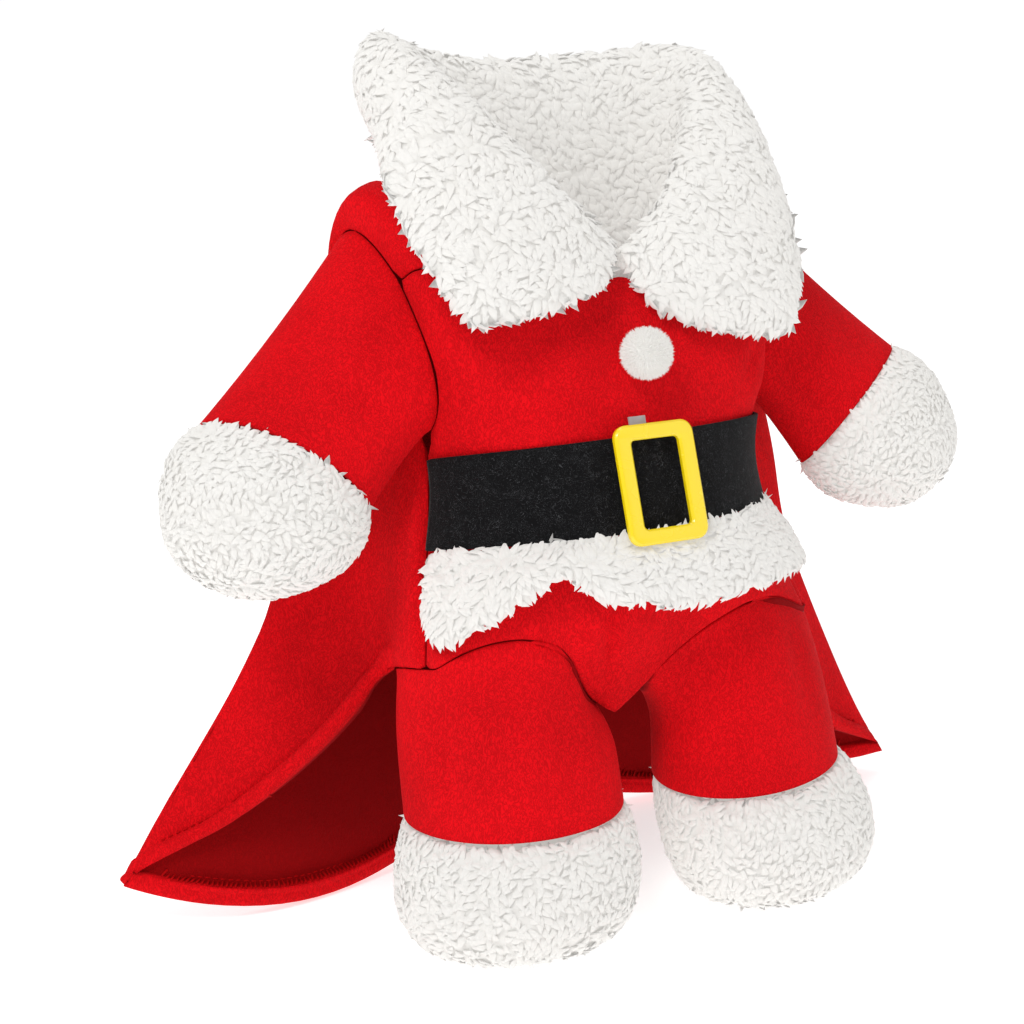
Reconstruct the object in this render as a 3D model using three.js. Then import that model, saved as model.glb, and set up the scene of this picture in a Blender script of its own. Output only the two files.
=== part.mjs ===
// A santa suit for a dog, filled out as it is when worn: a front with two trouser legs for the
// dog's front legs, a back that falls as a flared cape, two arms with mitts, a fleece collar with
// lapels, a fleece trim, a felt belt with a plastic buckle, and a pompom button.
// Millimetres. +X is the suit's own left, +Y its back, +Z up. Heights in the tables are measured
// from just under the cape's hem, and the group moves the origin to the middle of the neck.
import * as THREE from "three";
import { mergeVertices } from "three/addons/utils/BufferGeometryUtils.js";

// Driving dimensions.
const NECK_HEIGHT = 262; // the neck opening's middle, on the tables' own measure
const NECK_BACK = 15; // and behind their zero
const CLOTH = 2.4; // a velour wall
const FELT = 1.6; // the belt
const PILE = 7; // a fleece wall, pile and all
const SEAM = 0.6; // clear space between two pieces at a seam
const LAY = 0.9; // and between a piece and the cloth that it lies on
const BELT_WIDTH = 34;
const HEM_ROLL = 8.5; // the rolled hem's thickness
const POMPOM_RADIUS = 10.3;
const BUCKLE = { width: 33.5, height: 44.5, side: 6.6, end: 5.8, thick: 3.2, corner: 5, bevel: 0.8 };
const TAB = { width: 7, height: 7.5, thick: 0.8, above: 2.2, aside: -4 };

const RED = { color: 0xc8101a, roughness: 0.9 };
const WHITE = { color: 0xf3f1ec, roughness: 1 };
const BLACK = { color: 0x101013, roughness: 0.95 };
const YELLOW = { color: 0xf6d800, roughness: 0.25 };
const CLEAR = { color: 0xb9b6bd, roughness: 0.3 };

const { sin, cos, PI, abs, min, max, hypot, sign } = Math;
const clamp = (value, low, high) => min(max(value, low), high);
const mix = (a, b, share) => a + (b - a) * share;
const smooth = (low, high, value) => {
  const share = clamp((value - low) / (high - low), 0, 1);
  return share * share * (3 - 2 * share);
};
const point = (x, y, z) => new THREE.Vector3(x, y, z);

// The value of one column of a table at a key, on a smooth curve through the rows.
function column(rows, key, name, value) {
  const last = rows.length - 1;
  const at = clamp(value, rows[0][key], rows[last][key]);
  let i = 0;
  while (i < last - 1 && rows[i + 1][key] < at) i += 1;
  const span = rows[i + 1][key] - rows[i][key];
  const slope = (j) => {
    const before = rows[max(j - 1, 0)];
    const after = rows[min(j + 1, last)];
    return (after[name] - before[name]) / (after[key] - before[key]);
  };
  const t = (at - rows[i][key]) / span;
  const a = rows[i][name];
  const b = rows[i + 1][name];
  const bend = t * (1 - t) * span * (slope(i) * (1 - t) - slope(i + 1) * t);
  return mix(a, b, t * t * (3 - 2 * t)) + bend;
}

// A closed wall on a grid of points. surface(u, v) gives the cloth's outer face for u across and
// v along, both from 0 to 1. The wall reaches lift(u, v) out of that face and is thick(u, v) deep.
// A tube has around set and joins u = 1 to u = 0, and a dome also closes at v = 1. side is 1 where
// u cross v points out of the garment, and us and vs place the grid's lines unevenly.
function wall(shape) {
  const { across, along, surface, thick, around = false, dome = false, side = 1 } = shape;
  const lift = shape.lift ?? (() => 0);
  const uAt = (i) => (shape.us ? shape.us[i] : i / across);
  const vAt = (j) => (shape.vs ? shape.vs[j] : j / along);
  const columns = around ? across : across + 1;
  const rows = dome ? along : along + 1;
  const step = 1e-3;
  const slope = (u, v, du, dv) => {
    const wrap = (value) => (around ? ((value % 1) + 1) % 1 : clamp(value, 0, 1));
    const ahead = surface(wrap(u + du), clamp(v + dv, 0, 1));
    return ahead.sub(surface(wrap(u - du), clamp(v - dv, 0, 1)));
  };
  const positions = [];
  for (const inner of [0, 1]) {
    for (let j = 0; j < rows; j += 1) {
      for (let i = 0; i < columns; i += 1) {
        const [u, v] = [uAt(i), vAt(j)];
        const normal = slope(u, v, step, 0).cross(slope(u, v, 0, step)).normalize();
        const out = (lift(u, v) - inner * thick(u, v)) * side;
        positions.push(...surface(u, v).addScaledVector(normal, out).toArray());
      }
    }
  }
  if (dome) {
    const top = surface(0, 1);
    const under = surface(0, vAt(along - 1)).lerp(surface(0.5, vAt(along - 1)), 0.5);
    const axis = top.clone().sub(under).normalize();
    positions.push(...top.toArray());
    positions.push(...top.clone().addScaledVector(axis, -thick(0, 1)).toArray());
  }
  const triangles = [];
  const half = columns * rows;
  const at = (face, i, j) => face * half + j * columns + (i % columns);
  const add = (a, b, c) => triangles.push(...(side > 0 ? [a, b, c] : [a, c, b]));
  const quad = (a, b, c, d) => {
    add(a, b, c);
    add(a, c, d);
  };
  for (let j = 0; j < rows - 1; j += 1) {
    for (let i = 0; i < across; i += 1) {
      quad(at(0, i, j), at(0, i + 1, j), at(0, i + 1, j + 1), at(0, i, j + 1));
      quad(at(1, i, j), at(1, i, j + 1), at(1, i + 1, j + 1), at(1, i + 1, j));
    }
    if (!around) {
      quad(at(0, 0, j), at(0, 0, j + 1), at(1, 0, j + 1), at(1, 0, j));
      quad(at(0, across, j), at(1, across, j), at(1, across, j + 1), at(0, across, j + 1));
    }
  }
  for (let i = 0; i < across; i += 1) {
    quad(at(0, i, 0), at(1, i, 0), at(1, i + 1, 0), at(0, i + 1, 0));
    if (dome) {
      add(at(0, i, rows - 1), at(0, i + 1, rows - 1), 2 * half);
      add(at(1, i + 1, rows - 1), at(1, i, rows - 1), 2 * half + 1);
    } else {
      quad(at(0, i, along), at(0, i + 1, along), at(1, i + 1, along), at(1, i, along));
    }
  }
  return new THREE.BufferGeometry()
    .setAttribute("position", new THREE.Float32BufferAttribute(positions, 3))
    .setIndex(triangles);
}

// A smooth sheet through a table of points. Each row has its place "at" and a point under each of
// the names, whose places along the row are the shares.
function net(table, names, shares) {
  const named = (row, name) => ({ at: row.at, x: row[name][0], y: row[name][1], z: row[name][2] });
  const lines = names.map((name) => table.map((row) => named(row, name)));
  return (at, share) => {
    const line = lines.map((rows, i) => {
      const get = (axis) => column(rows, "at", axis, at);
      return { share: shares[i], x: get("x"), y: get("y"), z: get("z") };
    });
    const get = (axis) => column(line, "share", axis, share);
    return point(get("x"), get("y"), get("z"));
  };
}

// How far the waist is pushed over to the right, by height.
const WAIST = { shift: -2.2, from: 125, full: 150, past: 190, to: 206 };
function sway(z) {
  return WAIST.shift * smooth(WAIST.from, WAIST.full, z) * (1 - smooth(WAIST.past, WAIST.to, z));
}

// The front: level sections from side seam to side seam. seamX and seamY place the seam, frontY
// the middle of the front, and round is 1 for an ellipse, less for a squarer section. Above the
// waist the seam is the armhole's front edge, and at the hips it runs out onto the legs.
const FRONT = [
  { z: 88, seamX: 86, seamY: -26, frontY: -36, round: 0.7 },
  { z: 112, seamX: 85, seamY: -24, frontY: -44, round: 0.7 },
  { z: 135, seamX: 77.5, seamY: -13, frontY: -51.5, round: 0.9 },
  { z: 158, seamX: 71.5, seamY: -5, frontY: -52.5, round: 1.05 },
  { z: 180, seamX: 67, seamY: -1.5, frontY: -46, round: 1.05 },
  { z: 202, seamX: 69.4, seamY: -0.5, frontY: -39.5, round: 1 },
  { z: 209, seamX: 68.8, seamY: -6.4, frontY: -37, round: 0.85 },
  { z: 220, seamX: 69.6, seamY: -7, frontY: -33, round: 0.7 },
  { z: 237, seamX: 72.3, seamY: -2.3, frontY: -26.5, round: 0.65 },
  { z: 255, seamX: 76.4, seamY: 8.3, frontY: -18.5, round: 0.7 },
  { z: 268, seamX: 77, seamY: 10, frontY: -13, round: 0.8 },
];
// Where the front ends, by its share s of the half width: the lower edge over the legs and round
// the crotch, and the upper edge along the shoulder seam and the neckline.
const FRONT_ENDS = [
  { s: 0, low: 95, high: 247.5 },
  { s: 0.08, low: 101.5, high: 248 },
  { s: 0.13, low: 112, high: 249.5 },
  { s: 0.2, low: 121, high: 252.5 },
  { s: 0.3, low: 128, high: 257 },
  { s: 0.42, low: 131, high: 260.5 },
  { s: 0.55, low: 130.5, high: 262.5 },
  { s: 0.68, low: 127, high: 263 },
  { s: 0.8, low: 122.5, high: 262 },
  { s: 0.92, low: 119.5, high: 259.3 },
  { s: 1, low: 118.5, high: 256.6 },
];
const CROTCH = { shift: -15, from: 104, to: 148 }; // the crotch hangs over to the right
const FOLD = { x: -17, width: 7, depth: 4, from: 130, to: 158 }; // with an upright fold in it

// A point of the front, for s from -1 at the right side seam to 1 at the left one.
function frontPoint(s, z) {
  const get = (name) => column(FRONT, "z", name, z);
  const angle = (s * PI) / 2;
  const depth = max(cos(angle), 0) ** get("round");
  const swing = CROTCH.shift * (1 - s * s) * (1 - smooth(CROTCH.from, CROTCH.to, z));
  const x = get("seamX") * sin(angle) + swing + sway(z);
  const y = mix(get("seamY"), get("frontY"), depth);
  const fold = Math.exp(-(((x - FOLD.x) / FOLD.width) ** 2)) * (1 - smooth(FOLD.from, FOLD.to, z));
  return point(x, y - fold * FOLD.depth, z);
}
// The same point moved out of the cloth.
function onFront(s, z, out) {
  const step = 0.01;
  const side = clamp(s, -1 + step, 1 - step);
  const along = frontPoint(side + step, z).sub(frontPoint(side - step, z));
  const up = frontPoint(side, z + 1).sub(frontPoint(side, z - 1));
  return frontPoint(s, z).addScaledVector(along.cross(up).normalize(), out);
}
function frontPanel() {
  const surface = (u, v) => {
    const s = u * 2 - 1;
    const low = column(FRONT_ENDS, "s", "low", abs(s));
    const high = column(FRONT_ENDS, "s", "high", abs(s));
    return frontPoint(s, mix(low, high, v));
  };
  return wall({ across: 26, along: 12, surface, thick: () => CLOTH });
}

// The armhole's ring: its middle and two half axes, for the left arm.
const ARMHOLE = { middle: [77, 18.5, 237.6], up: [6, 11.8, 35.2], back: [5.7, 23, 6.3] };
const ring = ({ middle, up, back }, angle) =>
  point(...middle).addScaledVector(point(...up), cos(angle)).addScaledVector(point(...back), sin(angle));

// A point of the shoulder seam's far side, on the front's cloth but clear of its edge.
function overShoulder(s) {
  return frontPoint(s, column(FRONT_ENDS, "s", "high", s) + 2.6 * SEAM).toArray();
}

// The back, which falls as the cape. Each row is a section of the left half, from the front edge
// (the hip, the side seam, then round the armhole by its angle and over the shoulder) to the
// middle of the back. The crest and the valley are the fold behind the side seam, the wing is the
// cape's own side, and the corner lies behind it.
const CAPE = [
  { at: 0, edge: [84.5, -23, 119.5], crest: [88.3, -10, 116.5], valley: [87, 4, 113],
    inner: [106, 19, 80], flare: [139, 40, 43], wing: [180, 52, 23],
    corner: [90, 62, 7], back: [0, 76, 22.5] },
  { at: 1, edge: [83, -20.5, 124], crest: [88, -9, 122.5], valley: [85.5, 7, 121.5],
    inner: [96, 22, 108], flare: [120, 40, 87], wing: [148.5, 52, 76],
    corner: [90, 64, 60.5], back: [0, 79, 63.5] },
  { at: 2, edge: [77.8, -13.5, 134], crest: [86, -7, 133], valley: [83.5, 8, 132],
    inner: [90, 24, 129], flare: [104, 40, 127], wing: [121, 51, 125],
    corner: [82, 68, 121], back: [0, 80, 121] },
  { at: 3, edge: [70.3, -4.2, 163], crest: [78.5, -1, 163], valley: [81, 11, 163],
    inner: [85, 26, 163], flare: [96, 39, 163], wing: [113.5, 50, 163],
    corner: [72, 70, 163], back: [0, 77, 163] },
  { at: 4, turn: 180, crest: [72, 10.5, 202], valley: [74.5, 16.5, 202.5],
    inner: [80, 27.5, 203], flare: [91, 38, 203], wing: [100, 49, 203],
    corner: [64, 69, 204], back: [0, 74, 205] },
  { at: 5, turn: 115, crest: [82, 37, 228], valley: [84, 40, 229],
    inner: [87.5, 44, 231], flare: [91, 48.5, 232], wing: [91, 54, 233],
    corner: [60, 67, 236], back: [0, 72, 238] },
  { at: 6, turn: 60, crest: [86.5, 46.5, 261.5], valley: [88, 48.5, 262.5],
    inner: [87.3, 50.4, 263], flare: [84, 53.2, 265.5], wing: [79, 57.5, 267.5],
    corner: [51, 66, 268], back: [0, 69, 268] },
  { at: 7, turn: 5, crest: [85, 31, 279], valley: [85.6, 30.5, 285],
    inner: [83.5, 31, 291], flare: [75.5, 34.5, 293.4], wing: [67, 42, 291],
    corner: [42, 57, 288], back: [0, 64, 285] },
  { at: 8, turn: -47, crest: overShoulder(0.93), valley: overShoulder(0.86),
    inner: overShoulder(0.72), flare: [66, 3, 270], wing: [61, 22, 279],
    corner: [41, 49, 285], back: [0, 60, 287] },
];
const RIM = 4; // the first row at the armhole
const CAPE_NAMES = ["edge", "crest", "valley", "inner", "flare", "wing", "corner", "back", "beyond"];
const CAPE_SHARES = [0, 0.06, 0.12, 0.24, 0.37, 0.5, 0.75, 1, 1.25];
const SEWN = 0.12; // the share of the hem that is sewn to the leg
const HEM_TILT = 0.026; // the wings hang lower on the left
const HEM_TWIST = 0.15; // and the hem behind them further back there
const SWING = { shift: 5, from: 0.5, full: 2, past: 4, to: 5.5 }; // its wings hang over to the left
const CAPE_START = 0.01; // keeps the cape's front edge clear of the front's
const radians = (degrees) => (degrees * PI) / 180;
// The corner mirrored past the middle keeps the back smooth there.
const mirrored = ([x, y, z]) => [-x, y, z];
const capeTable = CAPE.map((row) => ({
  ...row,
  edge: row.edge ?? ring(ARMHOLE, radians(row.turn)).toArray(),
  beyond: mirrored(row.corner),
}));
const capeNet = net(capeTable, CAPE_NAMES, CAPE_SHARES);

// A point of the cape, for s from -1 on the right through 0 at the back to 1 on the left.
function capePoint(s, at) {
  const share = 1 - abs(s);
  const found = capeNet(at, share);
  const low = (1 - smooth(0, 2, at)) * sign(s);
  const behind = smooth(0.5, 0.7, share);
  found.z -= HEM_TILT * found.x * low * smooth(SEWN, 0.4, share) * (1 - behind);
  found.y += HEM_TWIST * found.x * low * behind;
  if (at > RIM) {
    // Between the rows too, the front edge keeps to the armhole's ring.
    const turn = column(CAPE.slice(RIM), "at", "turn", at);
    const miss = ring(ARMHOLE, radians(turn)).sub(capeNet(at, 0));
    found.addScaledVector(miss, 1 - smooth(0, SEWN, share));
  }
  found.setX(s < 0 ? -found.x : found.x);
  const swung = smooth(SWING.from, SWING.full, at) * (1 - smooth(SWING.past, SWING.to, at));
  found.x += SWING.shift * swung * smooth(SEWN, 0.5, share) * (1 - smooth(0.6, 0.9, share));
  found.x += sway(found.z) * (1 - smooth(0, 0.3, share));
  return found;
}
// The hem's roll: how full it is at each distance from the cape's edge.
const HEM = [
  { reach: 0, full: 0.45 }, { reach: 1.3, full: 0.8 }, { reach: 4.2, full: 1 },
  { reach: 6.9, full: 0.78 }, { reach: 8.5, full: 0.08 }, { reach: 10, full: 0 },
];
const HEM_END = HEM[HEM.length - 1].reach;
function cape() {
  const last = CAPE.length - 1;
  const sides = [CAPE_START, 0.04, 0.08, 0.12, 0.16, 0.2, 0.25, 0.31, 0.38, 0.45];
  const shares = [...sides, 0.5, 0.55, 0.61, 0.68, 0.76, 0.84, 0.92, 1];
  const left = shares.map((share) => 1 - share);
  const us = [...left.slice(0, -1).map((s) => -s), ...left.slice().reverse()];
  // The grid's first rows lie at the roll's distances, whatever the length to the next section.
  const scale = HEM_END / 0.2;
  const rows = [...HEM.map(({ reach }) => reach / scale), 0.6];
  for (let at = 1; at <= last; at += 0.5) rows.push(at);
  const spread = (s, at) => {
    const length = capePoint(s, 0).distanceTo(capePoint(s, 1));
    const end = min(HEM_END / length, 0.5);
    return at < 0.2 ? (at / 0.2) * end : mix(end, 1, (at - 0.2) / 0.8);
  };
  const bead = (u, v) => {
    const free = smooth(SEWN + 0.02, SEWN + 0.08, 1 - abs(u * 2 - 1));
    return free * clamp(column(HEM, "reach", "full", v * last * scale), 0, 1);
  };
  return wall({
    across: us.length - 1,
    along: rows.length - 1,
    us: us.map((s) => (s + 1) / 2),
    vs: rows.map((row) => row / last),
    surface: (u, v) => {
      const s = u * 2 - 1;
      return capePoint(s, v * last < 1 ? spread(s, v * last) : v * last);
    },
    thick: (u, v) => mix(CLOTH, HEM_ROLL, bead(u, v)),
    lift: (u, v) => ((HEM_ROLL - CLOTH) / 2) * bead(u, v),
    side: -1,
  });
}

// The collar's left half, as the middle of its wall, from its end at the front to the middle of
// the back: the foot and the stand inside the neck, the roll of the fold, then over it and down
// the fall to its free edge.
const COLLAR = [
  { at: 0, foot: [1.5, -8, 255], stand: [2, -13, 260], roll: [3.2, -17.5, 266.5],
    over: [6.5, -26.3, 252.5], fall: [31, -33.5, 243.5], edge: [67, -32.5, 237.5] },
  { at: 0.12, foot: [12, -7, 254], stand: [12.5, -12, 265], roll: [14.5, -17, 278.5],
    over: [26, -27, 268], fall: [49, -33, 253], edge: [73, -28.5, 246] },
  { at: 0.26, foot: [27, -4.5, 253], stand: [28, -7, 274], roll: [30.5, -8.5, 295.5],
    over: [42, -17, 292], fall: [63, -23, 277], edge: [81, -18, 262] },
  { at: 0.42, foot: [43, 3, 252], stand: [43, 5, 286], roll: [48.5, 10, 318.5],
    over: [60, 4, 320], fall: [74, -1, 306], edge: [84, 2, 285] },
  { at: 0.58, foot: [51, 17, 250], stand: [53, 23, 292], roll: [62, 31, 334],
    over: [70, 31, 336], fall: [77, 29, 322], edge: [77.5, 23, 301] },
  { at: 0.72, foot: [45, 33, 249], stand: [46.5, 39, 291], roll: [56, 49, 336],
    over: [63, 55, 337], fall: [69, 57, 321], edge: [61, 58, 299] },
  { at: 0.86, foot: [27, 45, 248], stand: [27, 50, 290], roll: [33, 60, 331],
    over: [38, 68, 331], fall: [41, 75, 315], edge: [38, 75, 296] },
  { at: 1, foot: [0, 49, 248], stand: [0, 53, 289], roll: [0, 63, 328],
    over: [0, 71, 328], fall: [0, 79, 313], edge: [0, 80, 294] },
];
const COLLAR_NAMES = ["foot", "stand", "roll", "over", "fall", "edge"];
const COLLAR_SHARES = [0, 0.22, 0.42, 0.54, 0.76, 1];
const COLLAR_HANG = 7; // how much lower the fall hangs on the left, and higher on the right
const beforeBack = COLLAR[COLLAR.length - 2];
const pastBack = { at: 2 - beforeBack.at };
for (const name of COLLAR_NAMES) pastBack[name] = mirrored(beforeBack[name]);
const collarNet = net([...COLLAR, pastBack], COLLAR_NAMES, COLLAR_SHARES);

function collarPoint(s, depth) {
  const at = 1 - abs(s);
  const found = collarNet(at, depth);
  const hang = smooth(0, 0.8, depth) * (1 - smooth(0.6, 1, at));
  found.z -= COLLAR_HANG * hang * sign(s);
  return found.setX(s < 0 ? -found.x : found.x);
}
function collar() {
  const deep = (u, v) => PILE * mix(0.8, 1, smooth(0, 0.12, min(v, 1 - v)));
  const surface = (u, v) => collarPoint(u * 2 - 1, v);
  return wall({ across: 36, along: 11, surface, thick: deep, lift: (u, v) => deep(u, v) / 2, side: -1 });
}

// An arm's rings, as the left arm has them: the sleeve from the armhole to the mitt's seam, then
// the mitt, a dome along its own axis that bulges past the seam and is bent a little upwards.
const SLEEVE_END = { middle: [125.5, 9.2, 190], up: [27.6, 14, 16.8], back: [-1, 19.4, -14.7] };
const MITT = {
  middle: [125.85, 9, 189.65], up: [28.8, 14.7, 17.5], back: [-1, 20.4, -15.5],
  axis: [32, -23.4, -33.2], bend: [4.4, 4.2, 1.3], bulge: 0.1, blunt: 3, wall: 5,
};
function between(a, b, share) {
  const part = (name) => a[name].map((value, axis) => mix(value, b[name][axis], share));
  return { middle: part("middle"), up: part("up"), back: part("back") };
}
const toHand = (found, hand) => found.setX(found.x * hand);
function sleeve(hand) {
  // The cloth starts a little off the armhole, so that it clears the panels there.
  const clear = 1.6 * SEAM;
  const surface = (u, v) => {
    const found = ring(between(ARMHOLE, SLEEVE_END, v), u * 2 * PI);
    found.x += clear * (1 - v);
    return toHand(found, hand);
  };
  return wall({ across: 22, along: 5, surface, thick: () => CLOTH, around: true, side: -hand });
}
function mitt(hand) {
  const vs = [0, 0.08, 0.22, 0.42, 0.62, 0.79, 0.92, 1];
  const surface = (u, v) => {
    const size = ((1 - v ** MITT.blunt) ** 0.5) * (1 + MITT.bulge * sin(PI * min(v * 1.6, 1)));
    const found = ring({ middle: [0, 0, 0], up: MITT.up, back: MITT.back }, u * 2 * PI);
    found.multiplyScalar(max(size, 1e-3)).add(point(...MITT.middle));
    found.addScaledVector(point(...MITT.axis), v).addScaledVector(point(...MITT.bend), v * v);
    return toHand(found, hand);
  };
  const thick = () => MITT.wall;
  return wall({ across: 22, along: 7, vs, surface, thick, around: true, dome: true, side: -hand });
}

// A leg and its cuff in level rings, as the left leg has them: the middle, half the breadth and
// half the depth. The broad face is turned outwards.
const LEG_TURN = radians(30);
const LEG = [
  { z: 60, x: 51.8, y: -30, broad: 41.8, deep: 36 },
  { z: 80, x: 52, y: -25.5, broad: 41.5, deep: 34 },
  { z: 100, x: 51.5, y: -20, broad: 40.5, deep: 32.5 },
  { z: 114, x: 50.5, y: -17, broad: 39, deep: 31 },
  { z: 132, x: 50, y: -15, broad: 37, deep: 29 },
];
const CUFF = [
  { v: 0, z: 19, x: 57, y: -41.5, broad: 29, deep: 24 },
  { v: 0.14, z: 15.5, x: 57, y: -41.5, broad: 34.5, deep: 29.5 },
  { v: 0.3, z: 19.5, x: 57, y: -41.5, broad: 41.5, deep: 36.5 },
  { v: 0.55, z: 33, x: 56.5, y: -41, broad: 47.5, deep: 42 },
  { v: 0.8, z: 48, x: 54.5, y: -37, broad: 46.5, deep: 41 },
  { v: 0.93, z: 58, x: 52.8, y: -33, broad: 44.2, deep: 38.4 },
  { v: 1, z: 60.5, x: 52, y: -31, broad: 40.2, deep: 34.6 },
];
const LEG_FOOT = 61.1;
const FOOT_TILT = 0.06; // how much the cuffs rise to the left
const CUFF_WALL = 6.5;
// The upper end of a leg, round from the front edge's outer end: under the cape's sewn part, then
// free round the back of the leg to the crotch.
const LEG_TOP = [
  [88.3, -10, 114.4],
  [83.6, 2.2, 110.2],
  [73.4, 10.6, 110.4],
  [58, 15, 110],
  [38, 12, 107],
  [20, 2, 101],
  [10, -14, 95],
];
const LEG_TOP_SHARES = [0.1, 0.15, 0.21, 0.3, 0.42, 0.55, 0.7, 0.84, 0.97]; // along the front's edge

// A point of a level ring in a compass direction from its middle.
function levelRing(row, direction) {
  const along = cos(direction - LEG_TURN) / row.broad;
  const aside = sin(direction - LEG_TURN) / row.deep;
  const reach = 1 / hypot(along, aside);
  return point(row.x + reach * cos(direction), row.y + reach * sin(direction), row.z);
}
function levelRow(rows, key, value) {
  const get = (name) => column(rows, key, name, value);
  return { x: get("x"), y: get("y"), z: get("z"), broad: get("broad"), deep: get("deep") };
}
function tiltFoot(found, hand, share) {
  found.z += FOOT_TILT * (found.x - hand * LEG[0].x) * share;
  return found;
}
function leg(hand) {
  // The top keeps clear of the front's edge, down its cloth, and more where the crotch hangs over.
  const clear = hand > 0 ? 2 * SEAM : 3.5 * SEAM;
  const frontEdge = (s) => frontPoint(hand * s, column(FRONT_ENDS, "s", "low", s));
  const edge = LEG_TOP_SHARES.map((s) => {
    const found = frontEdge(s);
    const along = frontEdge(s + 0.02).sub(frontEdge(s - 0.02));
    const out = onFront(hand * s, found.z, 1).sub(found);
    const away = along.cross(out).normalize();
    return toHand(found.addScaledVector(away, clear * hand), hand);
  });
  const rest = LEG_TOP.map((place) => point(...place));
  const top = new THREE.CatmullRomCurve3([...edge, ...rest], true);
  const surface = (u, v) => {
    const end = top.getPointAt(((u % 1) + 1) % 1);
    const middle = levelRow(LEG, "z", 118);
    const direction = Math.atan2(end.y - middle.y, end.x - middle.x);
    const level = mix(LEG_FOOT, end.z, v);
    const found = levelRing({ ...levelRow(LEG, "z", level), z: level }, direction);
    toHand(found.lerp(end, smooth(0.5, 1, v) ** 2), hand);
    return tiltFoot(found, hand, 1 - v);
  };
  return wall({ across: 28, along: 6, surface, thick: () => CLOTH, around: true, side: hand });
}
function cuff(hand) {
  const vs = [0, 0.14, 0.3, 0.5, 0.7, 0.84, 0.94, 1];
  const surface = (u, v) => {
    const found = toHand(levelRing(levelRow(CUFF, "v", v), u * 2 * PI), hand);
    return tiltFoot(found, hand, 1);
  };
  return wall({ across: 26, along: 7, vs, surface, thick: () => CUFF_WALL, around: true, side: hand });
}

// The belt lies on the front from side seam to side seam, higher over the belly and on the left.
const BELT_SIDE = 176;
const BELT_RISE = 7.5;
const BELT_TILT = 2;
const BELT_END = 0.975;
const beltMiddle = (s) => BELT_SIDE + BELT_RISE * (1 - s * s) + BELT_TILT * s;
function belt() {
  const surface = (u, v) => {
    const s = mix(-BELT_END, BELT_END, u);
    return onFront(s, beltMiddle(s) + (v - 0.5) * BELT_WIDTH, LAY + FELT);
  };
  return wall({ across: 26, along: 3, surface, thick: () => FELT });
}

// The fleece trim under the belt stands off to its lower edge, which is notched on the right.
const TRIM = [
  { s: -1, low: 142, flare: 0 },
  { s: -0.9, low: 130, flare: 1 },
  { s: -0.74, low: 128, flare: 3 },
  { s: -0.54, low: 143, flare: 6 },
  { s: -0.34, low: 157, flare: 5 },
  { s: -0.24, low: 148, flare: 7 },
  { s: 0, low: 144, flare: 9 },
  { s: 0.3, low: 143.5, flare: 9 },
  { s: 0.6, low: 141, flare: 6 },
  { s: 0.84, low: 135, flare: 1 },
  { s: 0.92, low: 135, flare: 0 },
  { s: 1, low: 143, flare: 0 },
];
const TRIM_END = 0.96;
function trim() {
  const fleece = (s, v) => PILE * mix(0.55, 1, smooth(1, 0.8, abs(s))) * mix(1, 0.5, smooth(0.5, 1, v));
  const surface = (u, v) => {
    const s = mix(-TRIM_END, TRIM_END, u);
    const high = beltMiddle(s) - BELT_WIDTH / 2 - SEAM;
    const z = mix(column(TRIM, "s", "low", s), high, v);
    const flare = column(TRIM, "s", "flare", s) * (1 - v) ** 1.3;
    return onFront(s, z, fleece(s, v) + LAY + flare);
  };
  const thick = (u, v) => fleece(mix(-TRIM_END, TRIM_END, u), v);
  return wall({ across: 32, along: 5, surface, thick });
}

// The buckle, a flat plastic frame with soft edges, leans with the belt that it sits on.
const BUCKLE_LEAN = 0.33; // radians back from upright
function buckle() {
  const frame = (width, height, corner) => {
    const [x, y, r] = [width / 2, height / 2, corner];
    const outline = new THREE.Shape();
    outline.absarc(x - r, y - r, r, 0, PI / 2).absarc(r - x, y - r, r, PI / 2, PI);
    outline.absarc(r - x, r - y, r, PI, 1.5 * PI).absarc(x - r, r - y, r, 1.5 * PI, 2 * PI);
    return outline;
  };
  const { width, height, side, end, thick, corner, bevel } = BUCKLE;
  const outer = frame(width - 2 * bevel, height - 2 * bevel, corner - bevel);
  const hole = frame(width - 2 * (side - bevel), height - 2 * (end - bevel), corner / 2);
  outer.holes.push(hole);
  const solid = new THREE.ExtrudeGeometry(outer, {
    depth: thick - 2 * bevel,
    bevelThickness: bevel,
    bevelSize: bevel,
    bevelSegments: 1,
    curveSegments: 4,
  });
  solid.translate(0, 0, bevel);
  return welded(solid);
}
function welded(geometry) {
  geometry.deleteAttribute("normal");
  geometry.deleteAttribute("uv");
  return mergeVertices(geometry, 1e-3);
}
// Sets a piece on the belt's middle, so that its own z becomes the way out of the belt.
function placeOnBelt(mesh, out, up, aside) {
  mesh.rotation.set(PI / 2 - BUCKLE_LEAN, 0, 0);
  mesh.position.copy(onFront(0, beltMiddle(0), LAY + FELT + out));
  mesh.translateY(up);
  mesh.translateX(aside);
}

const suit = new THREE.Group();
suit.position.set(0, -NECK_BACK, -NECK_HEIGHT);
function add(name, geometry, look) {
  const mesh = new THREE.Mesh(geometry, new THREE.MeshStandardMaterial({ ...look, metalness: 0 }));
  mesh.name = name;
  suit.add(mesh);
  return mesh;
}

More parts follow.
